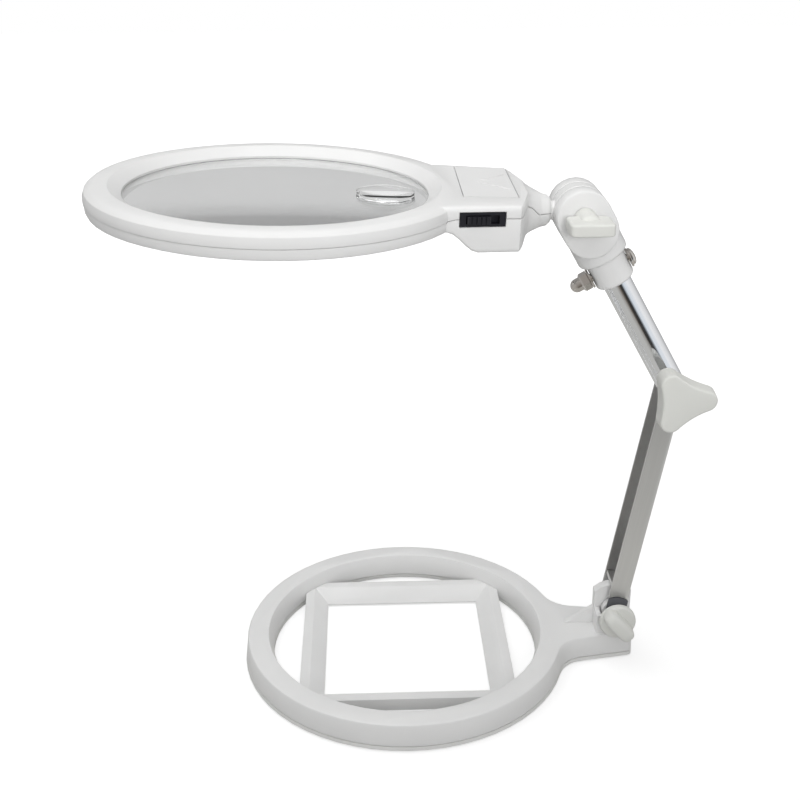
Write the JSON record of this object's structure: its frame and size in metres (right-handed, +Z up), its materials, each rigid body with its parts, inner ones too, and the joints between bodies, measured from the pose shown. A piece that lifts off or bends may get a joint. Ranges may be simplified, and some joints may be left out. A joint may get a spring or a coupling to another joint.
{
  "type": "folding stand magnifier",
  "caption": "Bench magnifier with a round lit lens head on a folding two-piece arm, hinged to a ring-shaped base with a square copy frame.",
  "frame": {"origin": "on the table under the base hinge, in the middle of the tail foot's underside", "axes": "+Z up, +X from the ring towards the hinge side, +Y away from the side with the knobs"},
  "size_m": [0.273, 0.16, 0.2399],
  "materials": {
    "white_plastic": "semi-gloss moulded",
    "ivory_plastic": "satin moulded",
    "grey_plastic": "matte moulded",
    "black_plastic": "satin moulded",
    "black_rubber": "matte",
    "steel": "dull plated sheet",
    "chrome": "polished",
    "clear_acrylic": "polished clear",
    "lamp_epoxy": "clear epoxy",
    "cell_wrap": "printed film, plain",
    "board": "circuit board"
  },
  "bodies": {
    "base": {"base_frame": "white_plastic", "base_bottom_plate": "white_plastic", "base_insert_frame": "white_plastic", "foot_tail": "black_rubber", "foot_ring_1": "black_rubber", "foot_ring_2": "black_rubber", "foot_ring_3": "black_rubber", "hinge_bolt": "chrome"},
    "base_knob_body": {"base_knob": "ivory_plastic"},
    "lower_arm": {"lower_arm_channel": "steel", "channel_plug": "grey_plastic", "hinge_bush": "white_plastic", "hinge_bush_near": "white_plastic", "friction_pad_near": "black_rubber", "friction_pad_far": "black_rubber", "elbow_bolt": "chrome", "elbow_washer": "chrome"},
    "elbow_knob_body": {"elbow_knob": "ivory_plastic"},
    "upper_arm": {"upper_arm_tube": "chrome", "tube_end_plug": "black_plastic", "clamp_bracket": "white_plastic", "collar_bolt": "chrome", "collar_washer_right": "chrome", "collar_washer_left": "chrome", "acorn_nut": "chrome", "head_bolt": "chrome"},
    "head_knob_body": {"head_knob": "ivory_plastic"},
    "head_stud_body": {"head_stud": "white_plastic"},
    "head": {"lens_frame_upper": "white_plastic", "lens_frame_lower": "white_plastic", "main_lens": "clear_acrylic", "insert_lens": "clear_acrylic", "battery_1": "cell_wrap", "battery_2": "cell_wrap", "battery_contact_near": "steel", "battery_contact_far": "steel", "switch_body": "black_plastic", "led_1": "lamp_epoxy", "led_2": "lamp_epoxy", "led_board": "board"},
    "switch_slider_body": {"switch_slider": "black_plastic"},
    "battery_cover_body": {"battery_cover": "white_plastic"}
  },
  "joints": [
    {"name": "base_hinge", "type": "hinge", "parent": "base", "child": "lower_arm", "pos_m": [0, 0, 0.0224], "axis": [0, 1, 0], "range_deg": [-23, 80]},
    {"name": "elbow_hinge", "type": "hinge", "parent": "lower_arm", "child": "upper_arm", "pos_m": [0.01964, 0, 0.14088], "axis": [0, -1, 0], "range_deg": [-39, 48]},
    {"name": "head_tilt", "type": "hinge", "parent": "upper_arm", "child": "head_stud_body", "pos_m": [-0.02681, 0, 0.22215], "axis": [0, 1, 0], "range_deg": [-28, 144]},
    {"name": "head_roll", "type": "hinge", "parent": "head_stud_body", "child": "head", "pos_m": [-0.02681, 0, 0.22215], "axis": [0.9994, 0, -0.0345], "range_deg": [-90, 90]},
    {"name": "base_knob_turn", "type": "hinge", "parent": "base", "child": "base_knob_body", "pos_m": [0, -0.0165, 0.0224], "axis": [0, 1, 0], "continuous": true},
    {"name": "elbow_knob_turn", "type": "hinge", "parent": "lower_arm", "child": "elbow_knob_body", "pos_m": [0.01964, -0.015, 0.14088], "axis": [0, 1, 0], "continuous": true},
    {"name": "head_knob_turn", "type": "hinge", "parent": "upper_arm", "child": "head_knob_body", "pos_m": [-0.02681, -0.022, 0.22215], "axis": [0, 1, 0], "continuous": true},
    {"name": "switch_slide", "type": "slide", "parent": "head", "child": "switch_slider_body", "axis": [0.9897, 0.1394, -0.0318], "range_m": [0, 0.0035]},
    {"name": "cover_lift", "type": "slide", "parent": "head", "child": "battery_cover_body", "axis": [0.0345, -0.0176, 0.9992], "range_m": [0, 0.03]}
  ]
}
